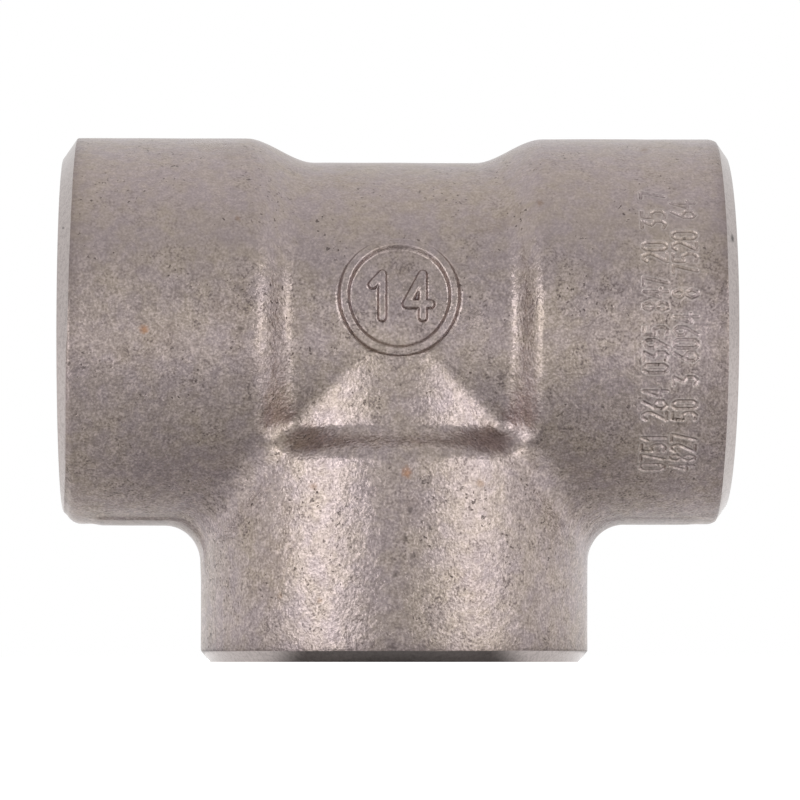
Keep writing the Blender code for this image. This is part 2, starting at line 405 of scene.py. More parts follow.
def crossed_bars(x, y, z, radius, fillet):
    """Below zero inside two plain bars, joined by a rolling ball in their inner corner.

    The ball touches both bars. With the cosine of the angle between their normals, the distances
    to the two bars give how far a point is from the ball's centre.
    """
    run_radius = np.hypot(y, z)
    branch_radius = np.maximum(np.hypot(x, y), LEAST_DIVISOR)
    to_run = run_radius - radius
    to_branch = np.maximum(branch_radius - radius, z)
    cosine = y**2 / (run_radius * branch_radius)
    under_run = fillet - to_run
    under_branch = fillet - to_branch
    in_corner = (under_run > cosine * under_branch) & (under_branch > cosine * under_run)
    square = under_run**2 + under_branch**2 - 2 * cosine * under_run * under_branch
    sine_squared = np.maximum(1 - cosine**2, LEAST_SINE_SQUARED)
    from_centre = np.sqrt(np.maximum(square, 0.0) / sine_squared)
    return np.where(in_corner, fillet - from_centre, np.minimum(to_run, to_branch))


def shelf_profile(share):
    """The shelf's rise from 0 to 1.

    Its slope starts at once, grows evenly to a steepest place and then falls evenly to 0.
    """
    steepest = 2 - SHELF_START_SLOPE * SHELF_STEEPEST
    growth = (steepest - SHELF_START_SLOPE) / (2 * SHELF_STEEPEST)
    rising = SHELF_START_SLOPE * share + growth * share**2
    easing = 1 - steepest * (1 - share) ** 2 / (2 * (1 - SHELF_STEEPEST))
    return np.where(share < SHELF_STEEPEST, rising, easing)


def outside_panel(x, y, z):
    """From 0 on the sunk panel to 1 beyond its step, across the panel's rounded outline.

    The rise is a narrow and a wide cubic at the sides and the shelf's profile below, mixed round
    the corners.
    """
    below = np.maximum((-z - SHELF_MIDDLE) / SHELF_HALF + PANEL_CORNER, 0.0)

    def across_step(middle, half):
        beside = np.maximum((np.abs(x) - middle) / half + PANEL_CORNER, 0.0)
        share = np.clip((np.hypot(beside, below) - PANEL_CORNER + 1) / 2, 0.0, 1.0)
        return beside, share

    middle, half, wide_middle, wide_half = run_step(y**2 / (y**2 + z**2), x > 0)
    beside, share = across_step(middle, half)
    wide_share = across_step(wide_middle, wide_half)[1]
    on_shelf = below**2 / np.maximum(beside**2 + below**2, LEAST_DIVISOR)
    side_rise = (1 - WIDE_SHARE) * cubic(share) + WIDE_SHARE * cubic(wide_share)
    return side_rise + on_shelf * (shelf_profile(share) - side_rise)


def skin(x, y, z):
    """Below zero inside the forging: crossed bars, sunk to thinner crossed bars in the panel."""
    share = outside_panel(x, y, z)
    outer = crossed_bars(x, y, z, BAND_RADIUS, CROTCH_FILLET)
    return share * outer + (1 - share) * crossed_bars(x, y, z, PANEL_RADIUS, PANEL_FILLET)


def skin_normals(points):
    """Outward directions: the slope of the skin's function by small steps along each axis."""
    slope = np.empty(points.shape)
    for axis in range(3):
        shift = np.zeros(3)
        shift[axis] = SLOPE_STEP
        ahead = skin(*np.moveaxis(points + shift, -1, 0))
        slope[..., axis] = ahead - skin(*np.moveaxis(points - shift, -1, 0))
    return slope / np.linalg.norm(slope, axis=-1, keepdims=True)


def place(arm, along, across, up):
    """Arm coordinates to X, Y, Z measured from the crossing of the axes."""
    if arm == "branch":
        return np.stack((up, across, -along), axis=-1)
    return np.stack((along if arm == "right" else -along, across, up), axis=-1)


def ring(arm, along, radius, angles):
    """Points round an arm: along and radius may be one value, one a column, or one a point."""
    along, radius, angles = np.broadcast_arrays(along, radius, angles)
    return place(arm, along, radius * np.sin(angles), radius * np.cos(angles))


def column_angles(columns):
    """Even angles round an arm, from the top."""
    return np.arange(columns) * (2 * math.pi / columns)


def mitre_length(arm, radius, angles):
    """Where each column of an arm starts: on the mitre with its neighbour, or at the middle."""
    up = radius * np.cos(angles)
    return np.abs(up) if arm == "branch" else np.maximum(-up, 0.0)


def row_lengths(arm, start, angles):
    """Distances along the arm of the skin's rows, with their own rows on the step of each column."""
    first, last = SHELF_MIDDLE - SHELF_HALF, SHELF_MIDDLE + SHELF_HALF
    if arm != "branch":
        middle, half, wide_middle, wide_half = run_step(np.sin(angles) ** 2, arm == "right")
        first, last = middle - half, wide_middle + wide_half
    step_start = np.maximum(first, start + LEAD_LEAST)
    step_end = np.maximum(last, step_start + STEP_LEAST)
    lead = np.linspace(start, step_start, LEAD_ROWS, endpoint=False)
    step = np.linspace(step_start, step_end, STEP_ROWS, endpoint=False)
    end = np.full(angles.shape, END_ZONE)
    return np.concatenate((lead, step, np.linspace(step_end, end, BAND_ROWS, endpoint=False)))


def skin_rows(arm, angles):
    """Rows of points on the forged skin, from the mitre to the end zone.

    Each point is found by halving on a ray that goes from a foot through a plain bar. Away from
    the mitre the foot lies on the arm's axis. On the mitre it lies in the middle plane of the
    tee, on the diagonal between the axes, so neighbouring arms find the same points. The waves
    and the bed of the stamped field then move each point inwards, and the land moves it outwards.
    """
    start = mitre_length(arm, BAND_RADIUS, angles)
    along = row_lengths(arm, start, angles)
    turned = np.clip(1 - (along - start) / RAY_TURN, 0.0, 1.0) ** 2
    across = np.broadcast_to(BAND_RADIUS * np.sin(angles), along.shape)
    up = np.broadcast_to(BAND_RADIUS * np.cos(angles), along.shape)
    foot = along - turned * start * (1 - RAY_FOOT)
    foot_up = turned * RAY_FOOT * np.where(start > 0, up, 0.0)

    def on_ray(reach):
        aside = foot_up + reach * (up - foot_up)
        return place(arm, foot + reach * (along - foot), reach * across, aside)

    low, high = (np.full(along.shape, reach) for reach in RAY_REACH)
    for _ in range(HALVINGS):
        middle = (low + high) / 2
        inside = skin(*np.moveaxis(on_ray(middle), -1, 0)) < 0
        low = np.where(inside, middle, low)
        high = np.where(inside, high, middle)
    points = on_ray(low)
    depth = skin_waves(points) + stamp_bed(points) - trimmed_land(points)[0]
    return points - depth[..., None] * skin_normals(points)


def forged_radius(arm, along, angles):
    """Radius of the forging near an end: the band less its waves and its rounded corner.

    The corner's radius is larger at the top and bottom than at the front and back. Its arc starts
    a little less than its tangent's length before the chamfer, so the cone cuts it just before the
    arc has turned to the cone's own slope.
    """
    waves = skin_waves(ring(arm, along, BAND_RADIUS, angles))
    rounder = TOP_CORNER_RADIUS[arm] - FRONT_CORNER_RADIUS
    radius = FRONT_CORNER_RADIUS + rounder * np.abs(np.cos(angles)) ** FRONT_CORNER_POWER
    chamfer_start = CENTRE_TO_END - (CHAMFER_WIDTH[arm] - waves) * math.tan(CHAMFER_ANGLE[arm])
    tangent = math.tan(math.pi / 4 - CHAMFER_ANGLE[arm] / 2) * radius
    past = np.clip(along - chamfer_start + CORNER_LEAD * tangent, 0.0, CORNER_ARC_SHARE * radius)
    return BAND_RADIUS - waves - (radius - np.sqrt(radius**2 - past**2))


def chamfer_radius(arm, along, angles):
    """The turned cone, whose axis may lie a little under the forging's own."""
    over_face = (CENTRE_TO_END - along) / math.tan(CHAMFER_ANGLE[arm])
    on_cone = BAND_RADIUS - CHAMFER_WIDTH[arm] + over_face
    return on_cone - CHAMFER_LOWERED[arm] * np.cos(angles)


def chamfer_edge(arm, angles):
    """How far along each column the turned chamfer cuts the forging, by halving."""
    low = np.full(angles.shape, END_ZONE)
    high = np.full(angles.shape, CENTRE_TO_END)
    for _ in range(HALVINGS):
        middle = (low + high) / 2
        forged = forged_radius(arm, middle, angles) < chamfer_radius(arm, middle, angles)
        low = np.where(forged, middle, low)
        high = np.where(forged, high, middle)
    return low


def thread_strip(arm):
    """The threaded wall as one strip wound round the socket: columns round it, a profile a pitch.

    The profile goes from a root flat over a flank, a crest flat and the other flank to the next
    root. Its depth grows by a pitch a turn. The depth is kept between the mouth and the bottom,
    so the first and the last turn close on circles. Near the mouth the countersink's cone cuts
    the crests, and near the bottom the roots fade into the core.
    """
    hand = -1 if arm == "left" else 1
    columns = math.ceil(SOCKET_COLUMNS * (SOCKET_DEPTH / THREAD_PITCH + 1)) + 1
    column = np.arange(columns + 1)[:, None]
    share, rise = np.array(THREAD_PROFILE).T
    depth = THREAD_PITCH * (column / SOCKET_COLUMNS - 1 + share)
    depth = np.clip(depth, 0.0, SOCKET_DEPTH)
    fade = np.clip((THREAD_ENDS - depth) / (THREAD_ENDS - THREAD_FADES_FROM), 0.0, 1.0)
    radius = CORE_RADIUS - depth * THREAD_SLOPE + THREAD_HEIGHT * fade * rise
    radius = np.maximum(radius, COUNTERSINK_RADIUS - depth)
    angles = hand * column * (2 * math.pi / SOCKET_COLUMNS)
    return ring(arm, CENTRE_TO_END - depth, radius, angles)


class Shell:
    """Points, faces, material numbers and wear and shade of one mesh, collected grid by grid.

    Wear and shade is above zero where the skin is rubbed bright and below zero where it is darker, with
    painted shade on the trimmed land's edge.
    """

    def __init__(self):
        self.points = []
        self.wear = []
        self.faces = []
        self.slots = []
        self.count = 0

    def add_points(self, points, wear=0.0):
        """Store a grid of points and return their numbers in the same grid."""
        numbers = self.count + np.arange(points[..., 0].size).reshape(points.shape[:-1])
        self.points.append(points.reshape(-1, 3))
        self.wear.append(np.broadcast_to(wear, points.shape[:-1]).reshape(-1))
        self.count += numbers.size
        return numbers

    def add_faces(self, faces, slot):
        """Store faces of one material, given as arrays of point numbers."""
        faces = faces.reshape(-1, faces.shape[-1])
        self.faces.append(faces)
        self.slots.append(np.full(len(faces), slot))

    def add_grid(self, numbers, slot, closed=True):
        """Quads between neighbouring rows, round all the columns if the grid is closed."""
        if closed:
            numbers = np.concatenate((numbers, numbers[:, :1]), axis=1)
        quads = (numbers[:-1, :-1], numbers[:-1, 1:], numbers[1:, 1:], numbers[1:, :-1])
        self.add_faces(np.stack(quads, axis=-1), slot)

    def build(self, name, materials):
        """Weld the grids, point the faces outwards and link the object."""
        mesh = bpy.data.meshes.new(name)
        faces = [face for group in self.faces for face in group.tolist()]
        mesh.from_pydata(np.concatenate(self.points).tolist(), [], faces)
        mesh.polygons.foreach_set("material_index", np.concatenate(self.slots).astype(np.int32))
        wear = mesh.attributes.new("wear", "FLOAT", "POINT")
        wear.data.foreach_set("value", np.concatenate(self.wear).astype(np.float32))
        form = bmesh.new()
        form.from_mesh(mesh)
        bmesh.ops.remove_doubles(form, verts=form.verts, dist=WELD)
        bmesh.ops.recalc_face_normals(form, faces=form.faces)
        form.to_mesh(mesh)
        form.free()
        mesh.shade_smooth()
        for material in materials:
            mesh.materials.append(material)
        return new_object(name, mesh)


def add_end_face(shell, rim, mouth):
    """The flat ring from the rim to the mouth, three rim edges to one mouth edge."""
    first, second, third = rim[0::3], rim[1::3], rim[2::3]
    after, next_mouth = np.roll(first, -1), np.roll(mouth, -1)
    shell.add_faces(np.stack((first, second, mouth), axis=-1), TURNED)
    shell.add_faces(np.stack((second, third, next_mouth, mouth), axis=-1), TURNED)
    shell.add_faces(np.stack((third, after, next_mouth), axis=-1), TURNED)


def add_arm(shell, arm):
    """One arm: forged skin, turned chamfer and face, threaded socket, bore to the inner mitre."""
    angles = column_angles(SKIN_COLUMNS)
    edge = chamfer_edge(arm, angles)
    corner = np.linspace(np.full(angles.shape, END_ZONE), edge, CORNER_ROWS + 1)
    corner_points = ring(arm, corner, forged_radius(arm, corner, angles), angles)
    skin_points = np.concatenate((skin_rows(arm, angles), corner_points))
    from_edge = np.linalg.norm(skin_points - skin_points[-1], axis=-1)
    # Darker skin by the turned end and on the trimmed land, with painted shade at the land's edge
    dark = np.maximum(np.exp(-from_edge / EDGE_DARK_REACH), trimmed_land(skin_points)[1])
    numbers = shell.add_points(skin_points, -dark)
    shell.add_grid(numbers, FORGED)

    chamfer = np.linspace(edge, np.full(angles.shape, CENTRE_TO_END), CHAMFER_ROWS + 1)[1:]
    chamfer_points = ring(arm, chamfer, chamfer_radius(arm, chamfer, angles), angles)
    chamfer_numbers = shell.add_points(chamfer_points)
    shell.add_grid(np.concatenate((numbers[-1:], chamfer_numbers)), TURNED)

    mouth_angles = column_angles(SOCKET_COLUMNS)
    mouth = shell.add_points(ring(arm, CENTRE_TO_END, COUNTERSINK_RADIUS, mouth_angles))
    add_end_face(shell, chamfer_numbers[-1], mouth)
    shell.add_grid(shell.add_points(thread_strip(arm)), THREADED, closed=False)

    bottom_radius = CORE_RADIUS - SOCKET_DEPTH * THREAD_SLOPE
    shoulder = (bottom_radius - WATERWAY_RADIUS) / math.tan(DRILL_POINT_ANGLE / 2)
    shoulder_end = CENTRE_TO_END - SOCKET_DEPTH - shoulder
    inner = mitre_length(arm, WATERWAY_RADIUS, mouth_angles)
    bottom = ring(arm, CENTRE_TO_END - SOCKET_DEPTH, bottom_radius, mouth_angles)[None]
    bore = np.linspace(np.full(mouth_angles.shape, shoulder_end), inner, BORE_ROWS)
    bore_points = ring(arm, bore, WATERWAY_RADIUS, mouth_angles)
    shell.add_grid(shell.add_points(np.concatenate((bottom, bore_points))), BORED)


def mark_sharp_edges(piece):
    """Make each edge of a turned, threaded or bored face sharp, where the two faces turn enough."""
    mesh = piece.data
    form = bmesh.new()
    form.from_mesh(mesh)
    for edge in form.edges:
        slots = {face.material_index for face in edge.link_faces}
        if slots == {FORGED}:
            continue
        edge.smooth = edge.calc_face_angle(0.0) < SHARP_EDGE
    form.to_mesh(mesh)
    form.free()


def tee_skin(materials):
    """The whole tee as one closed mesh."""
    shell = Shell()
    for arm in ("right", "left", "branch"):
        add_arm(shell, arm)
    shell.points = [points + (0.0, 0.0, AXIS_HEIGHT) for points in shell.points]
    piece = shell.build("tee", materials)
    mark_sharp_edges(piece)
    return piece


def ridge(distance, half_width, slope):
    """1 within half the width of a line, falling to 0 over the slope as a cubic."""
    return cubic(np.clip((half_width + slope - np.abs(distance)) / slope, 0.0, 1.0))


def text_distance(across, up, figures, size, pitch):
    """Distance of each point to the nearest line of a row of figures that starts at the origin."""
    nearest = np.full(across.shape, np.inf)
    for number, figure in enumerate(figures):
        for line in FIGURE_LINES.get(figure, ()):
            corners = np.array(line) * size + (number * pitch, 0.0)
            for first, last in zip(corners[:-1], corners[1:]):
                way = last - first
                share = ((across - first[0]) * way[0] + (up - first[1]) * way[1]) / (way @ way)
                share = np.clip(share, 0.0, 1.0)
                away = np.hypot(across - first[0] - share * way[0], up - first[1] - share * way[1])
                nearest = np.minimum(nearest, away)
    return nearest


def plate_height(radius, angle):
    """Height of the plate over the panel: a rim, the figures, a low floor and a border that dips."""
    rim = ridge(radius - RIM_MIDDLE, *RIM_LINE)
    across = radius * np.cos(angle) + (PLATE_PITCH + PLATE_FIGURE) / 2
    up = radius * np.sin(angle) + PLATE_FIGURE
    from_figures = text_distance(across, up, PLATE_TEXT, PLATE_FIGURE, PLATE_PITCH)
    figures = ridge(from_figures, *FIGURE_LINE)
    flare = np.clip((radius - PLATE_FLARE_FROM) / (PLATE_RADIUS - PLATE_FLARE_FROM), 0.0, 1.0)
    return PLATE_FLOOR + np.maximum(RIM_RISE * rim, FIGURE_RISE * figures) - PLATE_FLARE * flare


def inside_stamp(x, arc):
    """Distance inwards from the border of the stamped field, below zero outside it."""
    beside = np.minimum(x - STAMP_X[0], STAMP_X[1] - x)
    return np.minimum(beside, np.minimum(arc - STAMP_ARC[0], STAMP_ARC[1] - arc))


def stamp_bed(points):
    """How far the tee's own skin makes room under the stamped field, a cubic from its border."""
    arc = BAND_RADIUS * np.arctan2(points[..., 2], -points[..., 1])
    inside = inside_stamp(points[..., 0], arc) - STAMP_BORDER
    return STAMP_BED * cubic(np.clip(inside / STAMP_MARGIN, 0.0, 1.0))


def capped_piece(name, points, material, wear=0.0):
    """A piece from a grid that is closed round its columns, with its first and last row as caps."""
    shell = Shell()
    numbers = shell.add_points(points, wear)
    shell.add_grid(numbers, 0)
    shell.add_faces(numbers[0][None], 0)
    shell.add_faces(numbers[-1][::-1][None], 0)
    return shell.build(name, [material])


def stamped_field(material):
    """The stamped part of the right band: a fine grid with grooves, closed by a back under the skin.

    The grid lies a hair over the skin and dips under it at its border. Each groove has a raised rim.
    """
    rows = round((STAMP_ARC[1] - STAMP_ARC[0]) / STAMP_GRID)
    columns = round((STAMP_X[1] - STAMP_X[0]) / STAMP_GRID)
    x, arc = np.meshgrid(np.linspace(*STAMP_X, columns), np.linspace(*STAMP_ARC, rows))
    nearest = np.full(x.shape, np.inf)
    for base, start, figures in STAMP_LINES:
        from_line = text_distance(arc - start, base - x, figures, STAMP_FIGURE, STAMP_PITCH)
        nearest = np.minimum(nearest, from_line)
    groove = ridge(nearest, *GROOVE_LINE)
    burr = ridge(nearest - BURR_BESIDE, *BURR_LINE)
    angles = arc / BAND_RADIUS
    plain = np.stack((x, -BAND_RADIUS * np.cos(angles), BAND_RADIUS * np.sin(angles)), axis=-1)
    inside = inside_stamp(x, arc)
    dip = STAMP_BORDER_DIP * cubic(np.clip(1 - inside / STAMP_BORDER, 0.0, 1.0))
    lower = STAMP_BURR * cubic(np.clip((inside - STAMP_BORDER) / STAMP_MARGIN, 0.0, 1.0))
    depth = skin_waves(plain) - STAMP_OVER_SKIN + dip + lower
    depth = depth + STAMP_DEPTH * groove - STAMP_BURR * burr
    depth = np.concatenate((depth, np.full((rows, 2), STAMP_BACK)), axis=1)
    wear = np.concatenate((BURR_RUBBED * burr, np.zeros((rows, 2))), axis=1)
    x = np.concatenate((x, x[:, -1:], x[:, :1]), axis=1)
    angles = np.concatenate((angles, angles[:, :2]), axis=1)
    reach = BAND_RADIUS - depth
    points = np.stack((x, -reach * np.cos(angles), reach * np.sin(angles) + AXIS_HEIGHT), axis=-1)
    return capped_piece("stamped_field", points, material, wear)


def raised_plate(material):
    """A forged plate, laid on the panel's cylinder: a polar grid with a back under the skin."""
    angles = column_angles(PLATE_COLUMNS)
    radii = np.concatenate((np.linspace(PLATE_HUB, PLATE_RADIUS, PLATE_ROWS), [PLATE_RADIUS, PLATE_HUB]))
    radii, angles = np.meshgrid(radii, angles, indexing="ij")
    height = plate_height(radii, angles)
    height[-2:] = -PLATE_BACK
    along = PLATE_X + radii * np.cos(angles)
    turn = (PLATE_ABOVE_AXIS + radii * np.sin(angles)) / PANEL_RADIUS
    reach = PANEL_RADIUS + height
    points = np.stack((along, -reach * np.cos(turn), reach * np.sin(turn) + AXIS_HEIGHT), axis=-1)
    return capped_piece("panel_plate", points, material)


def new_object(name, data):
    """A new object in the scene's own collection."""
    made = bpy.data.objects.new(name, data)
    bpy.context.scene.collection.objects.link(made)
    return made


def new_material(name):
    """A new material, its node tree and its shader."""
    material = bpy.data.materials.new(name)
    material.use_nodes = True
    return material, material.node_tree, material.node_tree.nodes["Principled BSDF"]


def add_node(tree, kind, sockets=None, **settings):
    """A shader node. A socket given another node's output is linked to it."""
    made = tree.nodes.new(kind)
    for name, value in settings.items():
        setattr(made, name, value)
    for name, value in (sockets or {}).items():
        if isinstance(value, bpy.types.NodeSocket):
            tree.links.new(value, made.inputs[name])
        else:
            made.inputs[name].default_value = value
    return made


def object_place(tree):
    """Object coordinates, in metres, since every piece lies at the origin."""
    return add_node(tree, "ShaderNodeTexCoord").outputs["Object"]


def part_of(tree, vector, axis):
    """One of the parts X, Y and Z of a vector."""
    return add_node(tree, "ShaderNodeSeparateXYZ", {0: vector}).outputs[axis]


def noise(tree, vector, grain):
    """Noise of a grain, given as its size in metres, its octaves and its roughness."""
    size, octaves, roughness = grain
    sockets = {"Vector": vector, "Scale": 1.0 / size, "Detail": octaves, "Roughness": roughness}
    return add_node(tree, "ShaderNodeTexNoise", sockets).outputs["Fac"]


def maths(tree, operation, first, second=0.0, third=0.0):
    """The result of a Math node."""
    sockets = {0: first, 1: second, 2: third}
    return add_node(tree, "ShaderNodeMath", sockets, operation=operation).outputs[0]


def vector_maths(tree, operation, first, second=(0.0, 0.0, 0.0)):
    """The outputs of a Vector Math node."""
    return add_node(tree, "ShaderNodeVectorMath", {0: first, 1: second}, operation=operation).outputs


def remap(tree, value, source, target=(0.0, 1.0), smooth=True):
    """Map the source range to the target range, clamped, with smooth ends or straight."""
    kind = "SMOOTHSTEP" if smooth else "LINEAR"
    sockets = {"Value": value, "From Min": source[0], "From Max": source[1]}
    sockets.update({"To Min": target[0], "To Max": target[1]})
    return add_node(tree, "ShaderNodeMapRange", sockets, interpolation_type=kind).outputs["Result"]


def mix_colours(tree, share, first, second):
    """The first colour, given way to the second by a share. Sockets 6 and 7 are a Mix node's colours."""
    mixed = add_node(tree, "ShaderNodeMix", {0: share, 6: first, 7: second}, data_type="RGBA")
    return mixed.outputs[2]


def new_group(name, inputs, outputs):
    """A node group with named sockets. Returns the group, its input node and its output node."""
    group = bpy.data.node_groups.new(name, "ShaderNodeTree")
    for socket, kind in inputs.items():
        group.interface.new_socket(socket, in_out="INPUT", socket_type=kind)
    for socket, kind in outputs.items():
        group.interface.new_socket(socket, in_out="OUTPUT", socket_type=kind)
    return group, group.nodes.new("NodeGroupInput"), group.nodes.new("NodeGroupOutput")


def use_group(tree, group, sockets):
    """The outputs of a group that is placed in a tree."""
    return add_node(tree, "ShaderNodeGroup", sockets, node_tree=group).outputs


def grain_group():
    """Blasted and pickled grain: noise of three sizes as height, fine speckle and dark pinholes."""
    outputs = dict.fromkeys(("Height", "Speckle", "Pits"), "NodeSocketFloat")
    group, given, result = new_group("blasted grain", {"Vector": "NodeSocketVector"}, outputs)
    vector = given.outputs["Vector"]
    clouds = remap(group, noise(group, vector, PINHOLE_CLOUDS), PINHOLE_CLOUDS_IN)
    pits = remap(group, noise(group, vector, PINHOLES), PINHOLES_IN)
    pits = maths(group, "MULTIPLY", pits, clouds)
    height = maths(group, "ADD", noise(group, vector, MIDDLE_GRAIN), noise(group, vector, FINE_GRAIN))
    height = maths(group, "MULTIPLY_ADD", noise(group, vector, COARSE_GRAIN), COARSE_RISE, height)
    height = maths(group, "MULTIPLY_ADD", pits, PINHOLE_RISE, height)
    mottle = maths(group, "SUBTRACT", noise(group, vector, MOTTLE), 0.5)
    speckle = maths(group, "MULTIPLY_ADD", mottle, MOTTLE_SHARE, noise(group, vector, SPECKLE))
    group.links.new(height, result.inputs["Height"])
    group.links.new(speckle, result.inputs["Speckle"])
    group.links.new(pits, result.inputs["Pits"])
    return group


def stain_group():
    """A ragged round mask about a centre, 1 inside and 0 beyond the given sizes along X, Y and Z.

    The distance from the centre, in shares of the size, has noise added, and the mask falls over a
    range of the sum.
    """
    inputs = dict.fromkeys(("Vector", "Centre", "Size"), "NodeSocketVector")
    group, given, result = new_group("stain", inputs, {"Mask": "NodeSocketFloat"})
    away = vector_maths(group, "SUBTRACT", given.outputs["Vector"], given.outputs["Centre"])[0]
    scaled = vector_maths(group, "DIVIDE", away, given.outputs["Size"])[0]
    reach = vector_maths(group, "LENGTH", scaled)["Value"]
    ragged = noise(group, given.outputs["Vector"], STAIN_EDGE)
    reach = maths(group, "MULTIPLY_ADD", ragged, STAIN_RAGGED, reach)
    group.links.new(remap(group, reach, STAIN_FADES, FALLING), result.inputs["Mask"])
    return group


def stain(tree, group, vector, colour, spots, share, tint):
    """Tint the colour on every spot of a list of (centre, size), both in millimetres."""
    masks = 0.0
    for centre, size in spots:
        sockets = {"Vector": vector, "Centre": np.array(centre) * MM, "Size": np.array(size) * MM}
        masks = maths(tree, "MAXIMUM", use_group(tree, group, sockets)["Mask"], masks)
    return mix_colours(tree, maths(tree, "MULTIPLY", masks, share), colour, tint)


def forged_steel(grain, stains):
    """Pickled and blasted forging skin: tan clouds, speckle, pinholes, stains, rubbed burrs, a darker
    band by the turned ends and painted shade on the land's edge.

    The speckle is weaker towards the top, and its dark grains stand in clusters.
    """
    material, tree, shader = new_material("forged steel")
    vector = object_place(tree)
    texture = use_group(tree, grain, {"Vector": vector})
    cloud = noise(tree, vector, TAN_CLOUDS)
    tan = maths(tree, "MULTIPLY", remap(tree, cloud, TAN_CLOUDS_IN), 1 - TAN_PATCHES_SHARE)
    patches = remap(tree, noise(tree, vector, TAN_PATCHES), TAN_PATCHES_IN)
    tan = maths(tree, "MULTIPLY_ADD", patches, TAN_PATCHES_SHARE, tan)
    colour = mix_colours(tree, tan, COOL_STEEL, TAN_STEEL)

    brown = remap(tree, noise(tree, vector, BROWN_CLOUDS), BROWN_CLOUDS_IN, BROWN_CLOUDS_SHARE)
    colour = mix_colours(tree, brown, colour, BROWN_CLOUD)

    strength = remap(tree, part_of(tree, vector, "Z"), SPECKLE_WEAKENS, SPECKLE_STRENGTH)
    clusters = remap(tree, noise(tree, vector, DARK_CLUSTERS), DARK_CLUSTERS_IN, DARK_CLUSTERS_SHARE)
    clusters = maths(tree, "MULTIPLY", clusters, strength)
    dark = remap(tree, texture["Speckle"], DARK_SPECKLE_IN, FALLING)
    colour = mix_colours(tree, maths(tree, "MULTIPLY", dark, clusters), colour, DARK_SPECKLE)
    light = maths(tree, "MULTIPLY", remap(tree, texture["Speckle"], LIGHT_SPECKLE_IN), strength)
    light = maths(tree, "MULTIPLY", light, LIGHT_SPECKLE_SHARE)
    colour = mix_colours(tree, light, colour, LIGHT_SPECKLE)
    pits = maths(tree, "MULTIPLY", texture["Pits"], PINHOLE_SHARE)
    colour = mix_colours(tree, pits, colour, PINHOLE)

    colour = stain(tree, stains, vector, colour, RUST_SPOTS, RUST_SHARE, RUST)
    colour = stain(tree, stains, vector, colour, BROWN_SPOTS, BROWN_SPOT_SHARE, BROWN_SPOT)
    colour = stain(tree, stains, vector, colour, DARK_SPOTS, DARK_SPOT_SHARE, PINHOLE)
    # Rubbed burrs turn lighter; the darker band by the turned ends and the painted shade on the trimmed
    # land's edge turn towards SHADED
    wear = add_node(tree, "ShaderNodeAttribute", attribute_name="wear").outputs["Fac"]
    colour = mix_colours(tree, maths(tree, "MULTIPLY", wear, RUBBED_SHARE), colour, RUBBED)
    colour = mix_colours(tree, maths(tree, "MULTIPLY", wear, -SHADED_SHARE), colour, SHADED)

    bump = add_node(tree, "ShaderNodeBump", {"Height": texture["Height"], "Distance": GRAIN_DEPTH})
    tree.links.new(colour, shader.inputs["Base Color"])
    tree.links.new(remap(tree, cloud, GLOSS_CLOUDS_IN, GLOSS_ROUGHNESS), shader.inputs["Roughness"])
    tree.links.new(bump.outputs["Normal"], shader.inputs["Normal"])
    shader.inputs["Metallic"].default_value = 1.0
    return material


def turned_steel(name, colour, roughness, stains=None):
    """Steel from the lathe, with fine tool marks that are lower and darker."""
    material, tree, shader = new_material(name)
    vector = object_place(tree)
    marks = noise(tree, vector, TOOL_MARKS)
    bump = add_node(tree, "ShaderNodeBump", {"Height": marks, "Distance": TOOL_MARK_DEPTH})
    darker = [TOOL_MARK_SHADE * part for part in colour[:3]] + [1.0]
    shade = mix_colours(tree, remap(tree, marks, TOOL_MARKS_IN), darker, colour)
    if stains:
        shade = stain(tree, stains, vector, shade, CHAMFER_MARKS, CHAMFER_MARK_SHARE, CHAMFER_MARK)
    tree.links.new(shade, shader.inputs["Base Color"])
    tree.links.new(bump.outputs["Normal"], shader.inputs["Normal"])
    shader.inputs["Metallic"].default_value = 1.0
    shader.inputs["Roughness"].default_value = roughness
    return material


def rays_to_picture(tree):
    """1 for camera, glossy and transmission rays, which see the backdrop as white, otherwise 0."""
    rays = add_node(tree, "ShaderNodeLightPath").outputs
    seen = maths(tree, "MAXIMUM", rays["Is Camera Ray"], rays["Is Glossy Ray"])
    return maths(tree, "MAXIMUM", seen, rays["Is Transmission Ray"])


def white_world():
    """White behind and above the tee, a little dimmer in front, and weaker as diffuse light."""
    world = bpy.data.worlds.new("studio")
    world.use_nodes = True
    tree = world.node_tree
    background = tree.nodes["Background"]
    background.inputs["Color"].default_value = WHITE
    direction = add_node(tree, "ShaderNodeTexCoord").outputs["Generated"]
    white = remap(tree, part_of(tree, direction, "Y"), BACKDROP_TURNS, BACKDROP_WHITE)
    seen = remap(tree, rays_to_picture(tree), (0.0, 1.0), (BACKDROP_DIFFUSE, 1.0))
    tree.links.new(maths(tree, "MULTIPLY", white, seen), background.inputs["Strength"])
    bpy.context.scene.world = world


